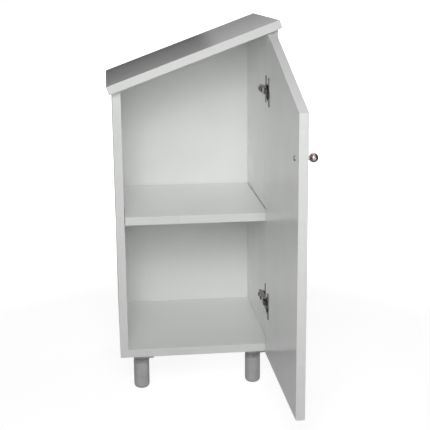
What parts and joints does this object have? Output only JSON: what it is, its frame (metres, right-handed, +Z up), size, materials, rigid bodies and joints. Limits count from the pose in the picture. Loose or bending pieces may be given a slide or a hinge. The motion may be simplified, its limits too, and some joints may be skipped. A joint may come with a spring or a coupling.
{
  "type": "column cabinet",
  "caption": "Narrow bathroom column cabinet with a sloping top, a side-hinged door on cup hinges with a ball knob, a loose shelf and round levelling legs.",
  "frame": {"origin": "on the floor, under the middle of the box round the whole cabinet with its door open", "axes": "+X towards the tall hinged side, +Y towards the back, +Z up"},
  "size_m": [0.3828, 0.6998, 0.8246],
  "materials": {
    "white_board": "gloss white lacquer on board",
    "back_board": "white faced thin fibreboard",
    "dowel_wood": "fluted beech",
    "grey_plastic": "satin",
    "dark_plastic": "satin",
    "knob_metal": "dark polished",
    "screw_steel": "zinc plated",
    "hinge_steel": "nickel plated"
  },
  "bodies": {
    "cabinet": {"back_panel": "back_board", "bottom_dowels": "dowel_wood", "top_dowels": "dowel_wood", "shelf_pins": "hinge_steel", "lower_mounting_plate": "hinge_steel", "lower_plate_screws": "screw_steel", "lower_hinge_arm": "hinge_steel", "lower_arm_screw": "screw_steel", "lower_adjusting_screw": "screw_steel", "lower_arm_pin": "hinge_steel", "upper_mounting_plate": "hinge_steel", "upper_plate_screws": "screw_steel", "upper_hinge_arm": "hinge_steel", "upper_arm_screw": "screw_steel", "upper_adjusting_screw": "screw_steel", "upper_arm_pin": "hinge_steel", "leg_socket_front_left": "dark_plastic", "leg_tube_front_left": "grey_plastic", "leg_socket_front_right": "dark_plastic", "leg_tube_front_right": "grey_plastic", "leg_socket_back_left": "dark_plastic", "leg_tube_back_left": "grey_plastic", "leg_socket_back_right": "dark_plastic", "leg_tube_back_right": "grey_plastic", "leg_screws": "screw_steel", "left_side_panel": "white_board", "right_side_panel": "white_board", "bottom_panel": "white_board", "top_panel": "white_board"},
    "door": {"door_knob": "knob_metal", "knob_screw": "screw_steel", "lower_hinge_cup": "hinge_steel", "lower_cup_pin": "hinge_steel", "lower_cup_screws": "screw_steel", "upper_hinge_cup": "hinge_steel", "upper_cup_pin": "hinge_steel", "upper_cup_screws": "screw_steel", "door_panel": "white_board"},
    "shelf": {"shelf": "white_board"},
    "upper_link": {"upper_hinge_link": "hinge_steel"},
    "lower_link": {"lower_hinge_link": "hinge_steel"},
    "foot_front_left": {"foot_front_left": "grey_plastic"},
    "foot_front_right": {"foot_front_right": "grey_plastic"},
    "foot_back_left": {"foot_back_left": "grey_plastic"},
    "foot_back_right": {"foot_back_right": "grey_plastic"}
  },
  "joints": [
    {"name": "upper_link_swing", "type": "hinge", "parent": "cabinet", "child": "upper_link", "pos_m": [0.14664, 0.00094, 0.67684], "axis": [0, 0, 1], "range_deg": [-2, 36.4]},
    {"name": "door_swing", "type": "hinge", "parent": "upper_link", "child": "door", "pos_m": [0.15101, -0.01341, 0.67684], "axis": [0, 0, 1], "range_deg": [-126.7, 6.3]},
    {"name": "lower_link_swing", "type": "hinge", "parent": "cabinet", "child": "lower_link", "pos_m": [0.14664, 0.00094, 0.208], "axis": [0, 0, 1], "range_deg": [-2, 36.4]},
    {"name": "shelf_lift", "type": "slide", "parent": "cabinet", "child": "shelf", "axis": [0, 0, 1], "range_m": [0, 0.04]},
    {"name": "foot_front_left_turn", "type": "hinge", "parent": "cabinet", "child": "foot_front_left", "pos_m": [-0.13286, 0.04694, 0.029], "axis": [0, 0, 1], "continuous": true},
    {"name": "foot_front_right_turn", "type": "hinge", "parent": "cabinet", "child": "foot_front_right", "pos_m": [0.12314, 0.04694, 0.029], "axis": [0, 0, 1], "continuous": true},
    {"name": "foot_back_left_turn", "type": "hinge", "parent": "cabinet", "child": "foot_back_left", "pos_m": [-0.13286, 0.30294, 0.029], "axis": [0, 0, 1], "continuous": true},
    {"name": "foot_back_right_turn", "type": "hinge", "parent": "cabinet", "child": "foot_back_right", "pos_m": [0.12314, 0.30294, 0.029], "axis": [0, 0, 1], "continuous": true}
  ],
  "couplings": [
    {"joint": "upper_link_swing", "follows": "door_swing", "ratio": -0.28571},
    {"joint": "lower_link_swing", "follows": "door_swing", "ratio": -0.28571}
  ]
}
